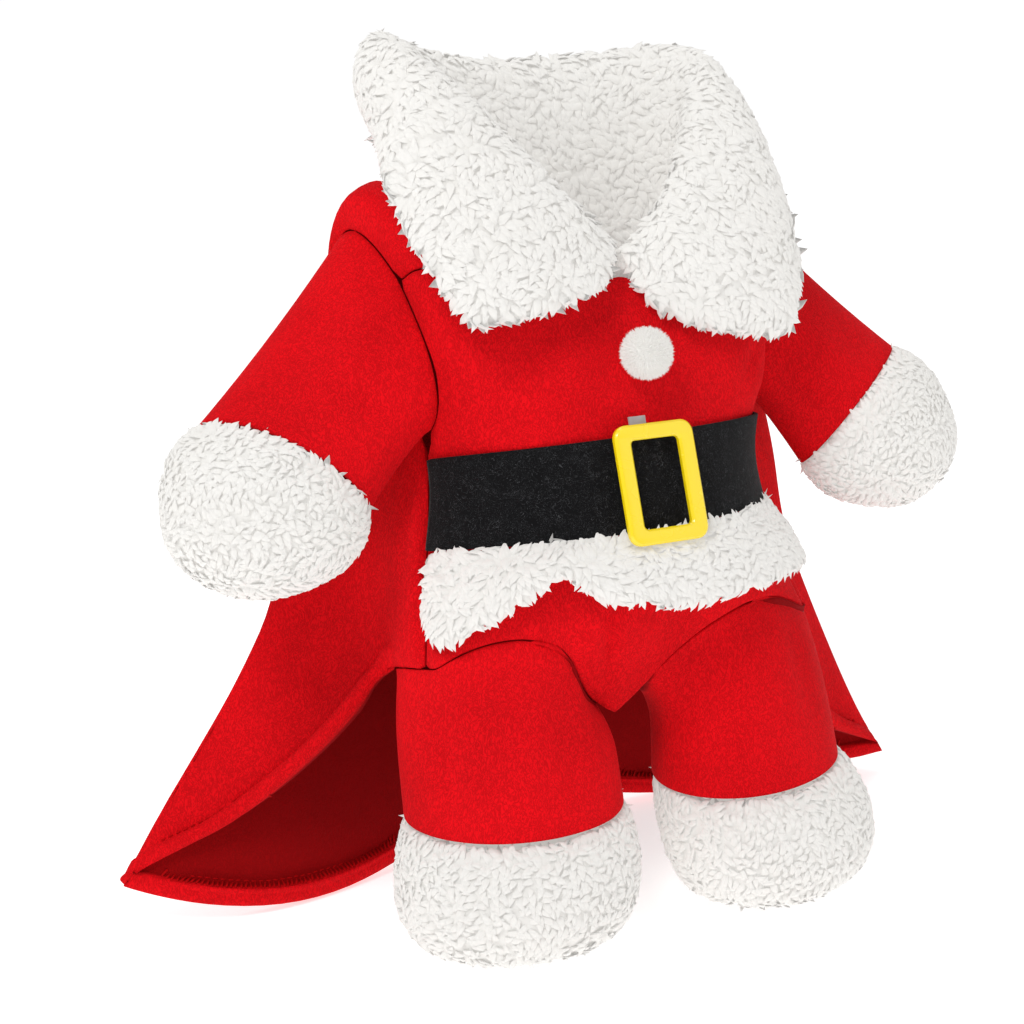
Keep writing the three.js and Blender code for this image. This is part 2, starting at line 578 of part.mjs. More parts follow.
add("front", frontPanel(), RED);
add("back_cape", cape(), RED);
add("collar", collar(), WHITE);
for (const [hand, name] of [[-1, "right"], [1, "left"]]) {
  add("sleeve_" + name, sleeve(hand), RED);
  add("mitt_" + name, mitt(hand), WHITE);
  add("leg_" + name, leg(hand), RED);
  add("cuff_" + name, cuff(hand), WHITE);
}
add("trim", trim(), WHITE);
add("belt", belt(), BLACK);
placeOnBelt(add("buckle", buckle(), YELLOW), 3.6, -1, 0);
const tab = new THREE.BoxGeometry(TAB.width, TAB.height, TAB.thick);
const tabUp = (BUCKLE.height - TAB.height) / 2 + TAB.above;
placeOnBelt(add("buckle_tab", tab, CLEAR), 2.4, tabUp, TAB.aside);
const button = add("pompom", new THREE.SphereGeometry(POMPOM_RADIUS, 18, 10), WHITE);
button.geometry = welded(button.geometry);
button.position.copy(onFront(-0.01, 227, POMPOM_RADIUS + SEAM));

export default suit;
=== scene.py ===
import math

import bmesh
import bpy
import numpy as np
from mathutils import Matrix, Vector
from mathutils.bvhtree import BVHTree
from mathutils.kdtree import KDTree

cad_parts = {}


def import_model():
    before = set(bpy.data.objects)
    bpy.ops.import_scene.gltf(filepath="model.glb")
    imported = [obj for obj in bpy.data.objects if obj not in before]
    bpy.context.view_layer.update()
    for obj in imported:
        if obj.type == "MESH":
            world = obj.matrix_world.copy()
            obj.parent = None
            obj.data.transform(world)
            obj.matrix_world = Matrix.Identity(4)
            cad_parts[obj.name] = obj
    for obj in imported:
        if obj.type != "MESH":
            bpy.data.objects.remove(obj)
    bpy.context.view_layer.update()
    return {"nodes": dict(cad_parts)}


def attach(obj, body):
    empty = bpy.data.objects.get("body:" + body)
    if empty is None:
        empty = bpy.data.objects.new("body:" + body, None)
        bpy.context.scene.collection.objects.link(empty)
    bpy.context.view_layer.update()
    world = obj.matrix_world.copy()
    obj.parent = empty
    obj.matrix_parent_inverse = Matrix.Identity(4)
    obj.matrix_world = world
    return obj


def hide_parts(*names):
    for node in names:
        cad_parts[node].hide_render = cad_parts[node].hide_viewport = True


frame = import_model()

# A santa suit for a dog: red velour panels sewn edge to edge, curly white fleece for the collar,
# the mitts, the cuffs and the trim, a black felt belt with a yellow plastic buckle, and a pompom.
MM = 0.001
CLOTH = 2.4 * MM  # the velour's thickness
SAME_POINT = 0.02 * MM  # points of a CAD mesh that are this close are one

VELOUR = ["front", "back_cape", "sleeve_left", "sleeve_right", "leg_left", "leg_right"]
# How steep an edge is, in radians, where a piece's rim starts, and where some panels' do.
STEEP = 0.85
STEEPEST = {"back_cape": 0.5, "leg_left": 0.6, "leg_right": 0.6}
# How sharp the edges of a piece's rim stay when it is smoothed.
RIM_CREASE = {"velour": 0.8, "felt": 0.9, "fleece": 0.0}
# Two panels' edges within the reach are sewn together. Each is moved by its share of the gap,
# with the cloth over the spread beside it, and the cloth turns in there, over the width.
SEAM = {
    "reach": 6 * MM,
    "share": 0.49,
    "spread": 2.6 * MM,
    "depth": 0.6 * MM,
    "width": 1.5 * MM,
    "row": 2.6 * MM,  # how far from the rim an added row of points lies
}
# The roll along the cape's hem: how far it stands out, the bounds of its width, how it rises
# from the edge and its stitched groove. At the wings' tips it fades over the last millimetres
# of those from the middle at which it ends.
ROLL = {
    "high": 2.3 * MM,
    "narrowest": 6 * MM,
    "widest": 9 * MM,
    "rise": 2.5 * MM,
    "groove": 1.3 * MM,
    "groove_wide": 1.5 * MM,
    "fade_over": 16,
    "ends_at": 166,
}
# The front's neckline: how many millimetres below the origin it starts to go up and over how
# many, how far it goes up in the middle, how wide that is, and its forward lean.
NECKLINE = {"from": 36, "over": 21, "high": 8.5 * MM, "wide": 12 * MM, "lean": 0.42}

# The fleece's tufts, in millimetres: how far the backing lies under the CAD face, the spacing, a
# tuft's half breadth and length, its height, and its pull downwards.
MITT = {"back": 1.5, "spacing": 2.0, "breadth": 1.35, "length": 4.4, "high": 1.5, "fall": 0.2}
CUFF = {"back": 1.6, "spacing": 2.1, "breadth": 1.45, "length": 4.6, "high": 1.5, "fall": 0.3}
FLEECE = {
    "collar": {
        "back": 1.7, "spacing": 2.25, "breadth": 1.7, "length": 6.2, "high": 1.6, "fall": 0.6,
    },
    "mitt_left": MITT,
    "mitt_right": MITT,
    "cuff_left": CUFF,
    "cuff_right": CUFF,
    "trim": {
        "back": 1.5, "spacing": 2.05, "breadth": 1.5, "length": 5.6, "high": 1.5, "fall": 0.9,
    },
}
UNDER_COLLAR = {"spacing": 3.5, "breadth": 2.1, "high": 1.4}
# How the tufts lie: how much they follow the swirls, stray, lean to the cloth beside them and
# lean out past a free edge, and how far from the cloth or the edge they do.
LIE = {
    "swirl": 0.7,
    "stray": 0.45,
    "to_cloth": 2.2,
    "cloth_reach": 4.5 * MM,
    "past_edge": 2.4,
    "edge_reach": 4 * MM,
}
# The sizes, in millimetres, of the swirls that the tufts lie in.
SWIRLS = (9, 13, 17, 24, 33)
# The pompom's yarn: how far its core lies under the CAD face, a strand's spacing, length and
# radius, and how much it strays.
YARN = {
    "core": 1.5 * MM,
    "spacing": 0.56 * MM,
    "length": 1.9 * MM,
    "thick": 0.24 * MM,
    "stray": 0.26,
}

# The creases in each velour panel, in millimetres: how wide one is, how far it stands out (or
# in, where that is less than 0), and the points that it runs through. Those at the back and
# inside can't be seen in the photograph and are like the ones that can.
CREASES = {
    "front": [
        # The chest, beside the arms.
        (9, -3.0, [(-70, -27, -36), (-61, -37, -43), (-48, -44, -49), (-35, -48, -51)]),
        (8, 1.8, [(-63, -34, -57), (-48, -44, -58), (-28, -50, -56)]),
        (7, -1.8, [(-37, -38, -23), (-42, -41, -32), (-54, -40, -41)]),
        (3.5, -1.9, [(62, -32, -33), (56, -37, -41), (50, -41, -50)]),
        (5, 1.0, [(66, -27, -44), (58, -36, -52), (44, -45, -55)]),
        (6, -1.0, [(45, -45, -50), (34, -48, -53), (20, -51, -53)]),
        # The belly's lower edge, between the legs.
        (2.8, -3.0, [(-24, -67, -121), (-22.5, -66, -132), (-21, -64, -144), (-20, -60, -155)]),
        (4, 1.6, [(-31, -65, -122), (-29, -65, -133), (-27, -62, -146)]),
        (5, 1.0, [(-8, -68, -124), (-5, -66, -134), (-6, -63, -146)]),
        (5, -1.0, [(6, -67, -126), (12, -65, -133), (22, -62, -136)]),
    ],
    "back_cape": [
        # The side strips, beside the belt's ends.
        (4, -1.9, [(-79, -15, -62), (-80, -14, -84), (-85, -16, -108), (-88, -18, -128)]),
        (4, -1.6, [(80, -13, -66), (81, -12, -90), (86, -15, -112)]),
        # The wings.
        (10, 2.2, [(-96, 20, -131), (-114, 26, -162), (-139, 29, -195)]),
        (8, -1.9, [(-92, 4, -136), (-104, 12, -164), (-118, 19, -183)]),
        (9, -1.6, [(-106, 26, -140), (-133, 31, -172), (-158, 33, -205)]),
        (10, 2.2, [(96, 20, -131), (116, 26, -166), (142, 30, -205)]),
        (8, -2.0, [(92, 5, -134), (106, 14, -160), (122, 20, -190)]),
        # Down the back.
        (10, -2.6, [(-66, 52, -62), (-78, 52, -120), (-84, 46, -176)]),
        (12, 3.0, [(-44, 57, -48), (-52, 60, -112), (-56, 56, -190)]),
        (9, -2.5, [(-20, 59, -70), (-24, 64, -128), (-30, 62, -170)]),
        (11, 2.3, [(6, 59, -40), (4, 65, -98), (2, 66, -148)]),
        (9, -2.9, [(28, 58, -56), (34, 63, -118), (42, 64, -196)]),
        (10, 2.5, [(54, 54, -76), (62, 56, -130), (70, 56, -182)]),
        (9, -2.2, [(74, 48, -64), (86, 48, -116), (94, 50, -158)]),
        # Behind the shoulders.
        (7, -1.4, [(82, 40, -18), (84, 42, -34), (80, 50, -56)]),
        (7, -1.4, [(-82, 40, -14), (-85, 41, -30), (-80, 50, -50)]),
    ],
    "sleeve_right": [
        # By the armpit, over the elbow and behind it.
        (5, -2.2, [(-87, -20, -52), (-98, -23, -45), (-107, -21, -37)]),
        (7, 1.3, [(-84, -8, -12), (-98, -14, -27), (-112, -23, -50)]),
        (6, -1.3, [(-101, 3, -12), (-116, -5, -28), (-126, -12, -41)]),
        (5, -1.9, [(-90, 22, -38), (-103, 18, -49), (-112, 12, -62)]),
    ],
    "sleeve_left": [
        (5, -2.0, [(76, -22, -42), (88, -25, -56), (100, -28, -66)]),
        (7, 1.2, [(86, -18, -28), (104, -22, -44), (118, -26, -56)]),
        (5, -1.6, [(88, 22, -34), (100, 19, -46), (112, 12, -60)]),
    ],
    "leg_right": [
        (6, -1.6, [(-83, -48, -160), (-84, -54, -178), (-85, -60, -193)]),
        (7, -1.4, [(-41, -67, -156), (-42, -73, -172), (-46, -79, -190)]),
        (8, 1.3, [(-64, -60, -150), (-63, -67, -166), (-64, -74, -186)]),
        (6, -1.9, [(-60, 0, -158), (-66, -8, -176), (-70, -14, -194)]),
    ],
    "leg_left": [
        (7, -1.6, [(27, -62, -148), (27, -67, -166), (27, -73, -186)]),
        (6, -1.3, [(64, -57, -142), (66, -65, -162), (66, -72, -182)]),
        (6, -1.9, [(62, 2, -158), (66, -8, -178), (64, -14, -192)]),
    ],
}

# The line of the hem's stitches on the cape, from its front edge at the right round to the left.
HEM_LINE = [
    (-86.1, -6.5, -142.2), (-89.2, -3.3, -149.5), (-95.2, 0.4, -160.7), (-104.8, 6.4, -174.6),
    (-119, 16, -191.6), (-138.2, 26.2, -208.7), (-163.5, 32.5, -219.1), (-174, 37, -225.5),
    (-162.2, 34.8, -232.5), (-141.4, 28.8, -239), (-109.1, 29.2, -244.4), (-79.6, 37.4, -244.8),
    (-50.9, 47.5, -239.1), (-25.5, 56, -232.9), (0, 61.8, -229.9), (25.5, 63.4, -232.9),
    (50.9, 62.4, -239.1), (79.6, 60.7, -244.8), (109.1, 61.2, -244.4), (141.5, 55.8, -241.6),
    (162.3, 45.2, -239.3), (174, 37, -234.8), (163.7, 32.5, -227.7), (138.3, 26.2, -215.9),
    (119.1, 16, -196.5), (104.8, 6.4, -177.1), (95.3, 0.4, -161.7), (89.3, -3.4, -149.8),
    (86.2, -6.5, -142.2),
]


class Shade:
    """A socket of a material's nodes. Python's operators on it add the maths."""

    def __init__(self, tree, socket=None):
        self.tree = tree
        self.socket = socket

    def node(self, kind, settings=None, inputs=None, output=0):
        """Adds a node: its settings first, then the values or links of its inputs."""
        made = self.tree.nodes.new(kind)
        for name, value in (settings or {}).items():
            setattr(made, name, value)
        for name, value in (inputs or {}).items():
            if isinstance(value, Shade):
                self.tree.links.new(value.socket, made.inputs[name])
            else:
                made.inputs[name].default_value = value
        return Shade(self.tree, made.outputs[output] if made.outputs else None)

    def maths(self, operation, *values):
        return self.node("ShaderNodeMath", {"operation": operation}, dict(enumerate(values)))

    def vector(self, operation, *values):
        return self.node("ShaderNodeVectorMath", {"operation": operation}, dict(enumerate(values)))

    def __add__(self, other):
        return self.maths("ADD", self, other)

    def __radd__(self, other):
        return self.maths("ADD", other, self)

    def __sub__(self, other):
        return self.maths("SUBTRACT", self, other)

    def __rsub__(self, other):
        return self.maths("SUBTRACT", other, self)

    def __mul__(self, other):
        return self.maths("MULTIPLY", self, other)

    def __rmul__(self, other):
        return self.maths("MULTIPLY", other, self)

    def __abs__(self):
        return self.maths("ABSOLUTE", self)

    def ramp(self, low, high, to_low=0.0, to_high=1.0):
        """The value's stretch from low to high, smoothly spread from to_low to to_high."""
        settings = {"interpolation_type": "SMOOTHSTEP"}
        inputs = {0: self, 1: low, 2: high, 3: to_low, 4: to_high}
        return self.node("ShaderNodeMapRange", settings, inputs)

    def colours(self, first, second):
        """A colour between two, by this value."""
        inputs = {0: self, 6: (*first, 1), 7: (*second, 1)}
        return self.node("ShaderNodeMix", {"data_type": "RGBA"}, inputs, 2)

    def noise(self, scale, detail=2.0, rough=0.5, bend=0.0, output=0):
        inputs = {"Vector": self, "Scale": scale, "Detail": detail, "Roughness": rough}
        return self.node("ShaderNodeTexNoise", None, {**inputs, "Distortion": bend}, output)

    def strewn(self, scale, reach):
        """This place, moved about by up to the reach."""
        drift = self.noise(scale, 1.0, output=1)
        drift = drift.vector("SUBTRACT", drift, (0.5, 0.5, 0.5))
        return self.vector("MULTIPLY_ADD", drift, (reach, reach, reach), self)

    def bump(self, depth, strength=1.0):
        """A normal from this height, which runs from 0 to 1 for the depth in metres."""
        inputs = {"Height": self, "Distance": depth, "Strength": strength}
        return self.node("ShaderNodeBump", None, inputs)


def material(name, build):
    """A material whose build function gets its place on the object and returns the inputs."""
    made = bpy.data.materials.new(name)
    made.use_nodes = True
    tree = made.node_tree
    tree.nodes.clear()
    place = Shade(tree).node("ShaderNodeTexCoord", output=3)
    surface = place.node("ShaderNodeBsdfPrincipled", None, build(place))
    place.node("ShaderNodeOutputMaterial", None, {"Surface": surface})
    return made


def velour_look(place):
    """Short nap that lies in fine, wavy, mostly upright lines, much darker on the cloth's inner
    side: partly its duller knit, partly painted shade.
    """
    bent = place.strewn(70, 7 * MM)
    lines = bent.vector("MULTIPLY", bent, (1.0, 1.0, 0.42))
    nap = (abs(lines.noise(1200, 1, 0.5, 0.7) - 0.5) * 8).ramp(0.0, 1.0)
    fine = place.noise(2600, 1, 0.5)
    broad = place.noise(24, 2, 0.5).ramp(0.3, 0.7)
    side = place.node("ShaderNodeAttribute", {"attribute_name": "outside"}, output=2)
    # The inner side's colour is darkened: partly the knit backing's own duller colour, partly
    # painted shade for the shadowed inside of the cape and the legs.
    inner = side.ramp(0.3, -0.6)
    shade = (0.3 + nap * 0.32 + fine * 0.24 + broad * 0.14) * (1 - inner * 0.85)
    return {
        "Base Color": shade.colours((0.19, 0.0001, 0.0006), (0.87, 0.0036, 0.009)),
        "Roughness": 0.92,
        "Sheen Weight": 0.08,
        "Sheen Roughness": 0.4,
        "Sheen Tint": (1.0, 0.05, 0.07, 1),
        "Specular IOR Level": 0.1,
        "Normal": nap.bump(0.3 * MM, 0.5),
    }


def thread_look(place):
    twist = place.noise(1500, 2, 0.5)
    return {
        "Base Color": twist.colours((0.36, 0.0006, 0.0015), (0.56, 0.0015, 0.003)),
        "Roughness": 0.8,
        "Specular IOR Level": 0.1,
        "Normal": twist.bump(0.2 * MM, 0.5),
    }


def fleece_look(place):
    """Fine curled fibres in each tuft, and a painted glow that lifts the shade between the tufts.
    """
    curls = place.strewn(350, 1.6 * MM).noise(1500, 3, 0.65, 1.2)
    tint = place.noise(55, 2, 0.5)
    return {
        "Base Color": tint.colours((0.56, 0.549, 0.527), (0.6, 0.593, 0.575)),
        "Roughness": 0.95,
        "Subsurface Weight": 0.3,
        "Subsurface Radius": (1.0, 0.97, 0.93),
        "Subsurface Scale": 1.6 * MM,
        # Painted light: the fleece glows faintly, which lifts the shade between its tufts and the
        # pompom's yarn and lowers their contrast.
        "Emission Color": (1.0, 0.975, 0.935, 1),
        "Emission Strength": 0.27,
        "Specular IOR Level": 0.1,
        "Normal": curls.bump(0.3 * MM, 0.3),
    }


def felt_look(place):
    """Matted black felt with a few stray light fibres."""
    matted = place.noise(1100, 4, 0.7, 1.5)
    strays = 1 - abs(place.noise(330, 2, 0.6, 3.5) - 0.5) * 55
    more = 1 - abs(place.strewn(90, 8 * MM).noise(450, 1, 0.5, 2.0) - 0.5) * 60
    some = place.noise(210, 1).ramp(0.5, 0.68)
    light = (strays.ramp(0.1, 1.0) * some + more.ramp(0.2, 1.0) * (1 - some) * 0.6) * 0.8
    return {
        "Base Color": light.colours((0.0028, 0.0028, 0.0033), (0.11, 0.112, 0.12)),
        "Roughness": 0.96,
        "Sheen Weight": 0.06,
        "Sheen Roughness": 0.4,
        "Specular IOR Level": 0.18,
        "Normal": matted.bump(0.35 * MM, 0.5),
    }


def plastic_look(place):
    mould = place.noise(120, 2, 0.5)
    return {
        "Base Color": mould.colours((0.9, 0.66, 0.0015), (0.94, 0.72, 0.003)),
        "Roughness": mould.ramp(0.3, 0.7, 0.22, 0.3),
        "Coat Weight": 0.5,
        "Coat Roughness": 0.1,
        "Normal": mould.bump(0.1 * MM, 0.2),
    }


def tab_look(place):
    haze = place.noise(300, 2, 0.5)
    return {
        "Base Color": haze.colours((0.40, 0.37, 0.38), (0.58, 0.55, 0.56)),
        "Roughness": 0.28,
        "Transmission Weight": 0.25,
        "Normal": haze.bump(0.1 * MM, 0.3),
    }


velour = material("red_velour", velour_look)
thread = material("red_thread", thread_look)
fleece = material("white_curly_fleece", fleece_look)
felt = material("black_felt", felt_look)
plastic = material("yellow_plastic", plastic_look)
clear = material("greyish_clear_tab", tab_look)


def unit(vectors):
    return vectors / np.maximum(np.linalg.norm(vectors, axis=-1, keepdims=True), 1e-12)


def tree_of(points):
    tree = KDTree(len(points))
    for index, point in enumerate(points):
        tree.insert(point, index)
    tree.balance()
    return tree


def nearest(tree, points):
    """The index of the tree's nearest point to each point, and how far it is."""
    found = [tree.find(point) for point in points]
    return np.array([index for _, index, _ in found]), np.array([far for _, _, far in found])


def mesh_object(name, mesh, look):
    made = bpy.data.objects.new(name, mesh)
    bpy.context.scene.collection.objects.link(made)
    mesh.materials.clear()
    mesh.materials.append(look)
    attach(made, "root")
    return made


def points_and_normals(mesh):
    points = np.empty(len(mesh.vertices) * 3, np.float32)
    normals = np.empty(len(mesh.vertices) * 3, np.float32)
    mesh.vertices.foreach_get("co", points)
    mesh.vertex_normals.foreach_get("vector", normals)
    return points.reshape(-1, 3).astype(float), normals.reshape(-1, 3).astype(float)


def set_points(mesh, points):
    mesh.vertices.foreach_set("co", points.astype(np.float32).ravel())
    mesh.update()


def merged(node):
    """The node's mesh with its points merged, and without the normals that it came with."""
    mesh = frame["nodes"][node].data.copy()
    if "custom_normal" in mesh.attributes:
        mesh.attributes.remove(mesh.attributes["custom_normal"])
    shell = bmesh.new()
    shell.from_mesh(mesh)
    bpy.data.meshes.remove(mesh)
    bmesh.ops.remove_doubles(shell, verts=shell.verts, dist=SAME_POINT)
    return shell


def quads_of(node):
    """The node's mesh with its triangles joined into quads."""
    shell = merged(node)
    joining = {"angle_face_threshold": 0.7, "angle_shape_threshold": 1.2}
    bmesh.ops.join_triangles(shell, faces=shell.faces, **joining)
    return shell


def mark_sheets(shell, crease, steepest=STEEP):
    """Marks the points of a wall 1 on its outer sheet and -1 on its inner one, creases the edges
    between the sheets and the rim, and returns the rim's points."""
    mark = shell.verts.layers.float.new("outside")
    keep = shell.edges.layers.float.new("crease_edge")
    sharp = {edge for edge in shell.edges if edge.calc_face_angle(0) > steepest}
    patches, patch_of = [], {}
    for face in shell.faces:
        if face in patch_of:
            continue
        patch_of[face] = len(patches)
        patch = [face]
        for here in patch:
            for edge in here.edges:
                for other in () if edge in sharp else edge.link_faces:
                    if other not in patch_of:
                        patch_of[other] = len(patches)
                        patch.append(other)
        patches.append(patch)
    largest = sorted(range(len(patches)), key=lambda i: -sum(f.calc_area() for f in patches[i]))
    side = {largest[0]: 1.0, largest[1]: -1.0}

    def sides_beside(index):
        edges = [edge for face in patches[index] for edge in face.edges]
        beside = {patch_of[face] for edge in edges for face in edge.link_faces}
        return {side[other] for other in beside if other in side}

    # A patch that meets one sheet alone belongs to it, and one between the two is the rim.
    while True:
        found = next((i for i in largest if i not in side and len(sides_beside(i)) == 1), None)
        if found is None:
            break
        side[found] = sides_beside(found).pop()
    for index, value in side.items():
        for face in patches[index]:
            for vert in face.verts:
                vert[mark] = value
    for edge in sharp:
        if {side.get(patch_of[face]) for face in edge.link_faces} not in ({1.0}, {-1.0}):
            edge[keep] = crease
    return {vert for face, index in patch_of.items() if index not in side for vert in face.verts}


def narrow_rows(shell, rim, width):
    """Adds a row of points to both sheets, close to the rim, so that a seam can turn in."""
    across = [edge for edge in shell.edges if (edge.verts[0] in rim) != (edge.verts[1] in rim)]
    made = bmesh.ops.subdivide_edges(shell, edges=across, cuts=1)["geom_inner"]
    new = {item for item in made if isinstance(item, bmesh.types.BMVert)}
    places = {}
    for vert in new:
        ends = [edge.other_vert(vert) for edge in vert.link_edges]
        at_rim = [end for end in ends if end in rim]
        inside = [end for end in ends if end not in rim and end not in new]
        if at_rim and inside:
            way = inside[0].co - at_rim[0].co
            places[vert] = at_rim[0].co + way * min(0.5, width / max(way.length, 1e-6))
    for vert, place in places.items():
        vert.co = place


def smoothed(name, shell, levels, look):
    """A smooth mesh object from a coarse one, with its subdivision applied."""
    coarse = bpy.data.meshes.new(name)
    shell.to_mesh(coarse)
    shell.free()
    helper = bpy.data.objects.new(name + "_coarse", coarse)
    bpy.context.scene.collection.objects.link(helper)
    subdivision = helper.modifiers.new("smooth", "SUBSURF")
    subdivision.levels = subdivision.render_levels = levels
    bpy.context.view_layer.update()
    evaluated = helper.evaluated_get(bpy.context.evaluated_depsgraph_get())
    mesh = bpy.data.meshes.new_from_object(evaluated)
    mesh.name = name
    bpy.data.objects.remove(helper)
    bpy.data.meshes.remove(coarse)
    mesh.polygons.foreach_set("use_smooth", [True] * len(mesh.polygons))
    return mesh_object(name, mesh, look)


def outside_of(mesh):
    marks = np.empty(len(mesh.vertices), np.float32)
    mesh.attributes["outside"].data.foreach_get("value", marks)
    return marks


def shared_by_nearest(points, outer, values):
    """The outer sheet's values, carried through to the wall's other points behind it."""
    neighbours, evening = 4, 0.3 * MM
    tree = tree_of(points[outer])
    found = [tree.find_n(point, neighbours) for point in points]
    near = np.array([[index for _, index, _ in row] for row in found])
    gaps = np.array([[far for _, _, far in row] for row in found])
    weight = 1 / (gaps**2 + evening**2)
    mixed = (values[near] * weight[:, :, None]).sum(1) / weight.sum(1)[:, None]
    mixed[outer] = values
    return mixed


def curve_through(points, step):
    """A smooth line through the points, with points about a step apart."""
    points = np.array(points, float)
    ends = np.concatenate([[2 * points[0] - points[1]], points, [2 * points[-1] - points[-2]]])
    line = []
    for a, b, c, d in zip(ends, ends[1:], ends[2:], ends[3:]):
        count = max(int(np.linalg.norm(c - b) / step), 1)
        t = (np.arange(count) / count)[:, None]
        square, cube = 2 * a - 5 * b + 4 * c - d, 3 * b - 3 * c + d - a
        line.append(b + 0.5 * t * (c - a + t * (square + t * cube)))
    return np.concatenate([*line, points[-1:]])


def crease_height(points, wide, high, way):
    """How far a crease moves each point out. It fades towards both its ends."""
    line = curve_through(np.array(way) * MM, 3 * MM)
    height = np.zeros(len(points))
    reach = wide * MM
    low, top = line.min(0) - 2.5 * reach, line.max(0) + 2.5 * reach
    close = np.where((points > low).all(1) & (points < top).all(1))[0]
    if len(close):
        gaps = np.linalg.norm(points[close][:, None] - line[None], axis=2)
        at = gaps.argmin(1) / (len(line) - 1)
        fade = np.sin(np.pi * np.clip(at * 0.9 + 0.05, 0, 1)) ** 0.7
        height[close] = high * MM * fade * np.exp(-((gaps.min(1) / reach) ** 2))
    return height


def raised_neckline(points):
    """The front's upper edge goes on up behind the place where the lapels meet."""
    from_edge = np.clip((points[:, 2] / MM + NECKLINE["from"]) / NECKLINE["over"], 0, 1)
    lift = NECKLINE["high"] * np.exp(-((points[:, 0] / NECKLINE["wide"]) ** 2)) * from_edge**1.5
    points[:, 2] += lift
    points[:, 1] += lift * NECKLINE["lean"]
    return points


def hem_height(points, rim):
    """The roll along the cape's hem and its stitches' groove, which fade at the wings' tips."""
    line = curve_through(np.array(HEM_LINE) * MM, 1 * MM)
    edge = tree_of(rim)
    index, from_line = nearest(tree_of(line), points)
    wide = np.clip(nearest(edge, line)[1][index], ROLL["narrowest"], ROLL["widest"])
    on_roll = np.clip((wide - nearest(edge, points)[1]) / ROLL["rise"], 0, 1)
    height = on_roll * ROLL["high"] * np.sin(np.pi * np.clip(from_line / wide, 0, 1) ** 0.8)
    height -= ROLL["groove"] * np.exp(-((from_line / ROLL["groove_wide"]) ** 2))
    from_tip = ROLL["ends_at"] - abs(points[:, 0]) / MM
    return height * np.clip(from_tip / ROLL["fade_over"], 0, 1)


def inner_sheet_kept_inside(points, normals, outside):
    """Keeps the inner sheet under the outer one at the wings' tips, where smoothing takes it
    through."""
    least, most = 0.9 * MM, 3 * MM
    outer, inner = np.where(outside > 0.98)[0], np.where(outside < -0.98)[0]
    index, _ = nearest(tree_of(points[outer]), points[inner])
    out = normals[outer][index]
    depth = ((points[outer][index] - points[inner]) * out).sum(1)
    points[inner] -= out * np.clip(least - depth, 0, most)[:, None]
    return points


def velour_shells():
    made = {}
    for node in VELOUR:
        shell = quads_of(node)
        rim = mark_sheets(shell, RIM_CREASE["velour"], STEEPEST.get(node, STEEP))
        narrow_rows(shell, rim, SEAM["row"])
        piece = smoothed(node + "_velour", shell, 2, velour)
        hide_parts(node)
        made[node] = piece
    return made


def sewn_together(pieces):
    """Brings the panels' edges together along the seams, turns them in there and creases them."""
    facts = {}
    for node, piece in pieces.items():
        points, normals = points_and_normals(piece.data)
        outside = outside_of(piece.data)
        if node == "front":
            points = raised_neckline(points)
        rim = abs(outside) < 0.9
        facts[node] = {"points": points, "normals": normals, "outside": outside, "rim": rim}
    for node, fact in facts.items():
        points, rim = fact["points"], fact["rim"]
        others = np.concatenate([f["points"][f["rim"]] for n, f in facts.items() if n != node])
        index, far = nearest(tree_of(others), points[rim])
        sewn = far < SEAM["reach"]
        edge = points[rim][sewn]
        closing = (others[index[sewn]] - edge) * SEAM["share"]
        index, far = nearest(tree_of(edge), points)
        moved = closing[index] * np.exp(-((far / SEAM["spread"]) ** 2))[:, None]
        outer = np.where(fact["outside"] > 0.98)[0]
        height = -SEAM["depth"] * np.exp(-((far[outer] / SEAM["width"]) ** 2))
        if node == "back_cape":
            height += hem_height(points[outer], points[rim])
        for wide, high, way in CREASES[node]:
            height += crease_height(points[outer], wide, high, way)
        out = shared_by_nearest(points, outer, fact["normals"][outer] * height[:, None])
        fact["new"] = points + moved + out
        if node == "back_cape":
            fact["new"] = inner_sheet_kept_inside(fact["new"], fact["normals"], fact["outside"])
    for node, piece in pieces.items():
        set_points(piece.data, facts[node]["new"])


def locks_mesh(name, rows, radii, wide, sides, flat=1.0, out=None):
    """Tapered locks. rows has each ring's middles and then the tips, and radii the rings' radii.
    flat is a lock's thickness over its breadth, and out turns its shading towards the cloth's."""
    outward_shading = 1.2
    rings = len(rows) - 1
    points = []
    for ring in range(rings):
        along = unit(rows[ring + 1] - rows[max(ring - 1, 0)])
        side = unit(np.cross(along, wide))
        other = np.cross(along, side)
        for corner in range(sides):
            turn = 2 * math.pi * corner / sides
            reach = math.cos(turn) * flat * side + math.sin(turn) * other
            points.append(rows[ring] + radii[ring][:, None] * reach)
    points.append(rows[-1])
    each = len(points)
    walls, tips = [], []
    for corner in range(sides):
        after = (corner + 1) % sides
        for ring in range(rings - 1):
            a, b = ring * sides + corner, ring * sides + after
            walls.append([a, b, b + sides, a + sides])
        last = (rings - 1) * sides
        tips.append([last + corner, last + after, each - 1])
    co = np.stack(points, 1).reshape(-1, 3)
    base = (np.arange(len(rows[0])) * each)[:, None, None]
    quads = (base + np.array(walls)[None]).reshape(-1)
    ends = (base + np.array(tips)[None]).reshape(-1)
    sizes = np.concatenate([np.full(len(quads) // 4, 4), np.full(len(ends) // 3, 3)])
    loops = np.concatenate([quads, ends]).astype(np.int32)
    mesh = bpy.data.meshes.new(name)
    mesh.vertices.add(len(co))
    mesh.vertices.foreach_set("co", co.astype(np.float32).ravel())
    mesh.loops.add(len(loops))
    mesh.loops.foreach_set("vertex_index", loops)
    mesh.polygons.add(len(sizes))
    starts = np.concatenate([[0], np.cumsum(sizes)[:-1]]).astype(np.int32)
    mesh.polygons.foreach_set("loop_start", starts)
    mesh.polygons.foreach_set("use_smooth", np.ones(len(sizes), bool))
    mesh.update(calc_edges=True)
    if out is not None:
        own = points_and_normals(mesh)[1]
        shading = unit(own + np.repeat(out, each, 0) * outward_shading)
        mesh.normals_split_custom_set_from_vertices(shading)
    return mesh


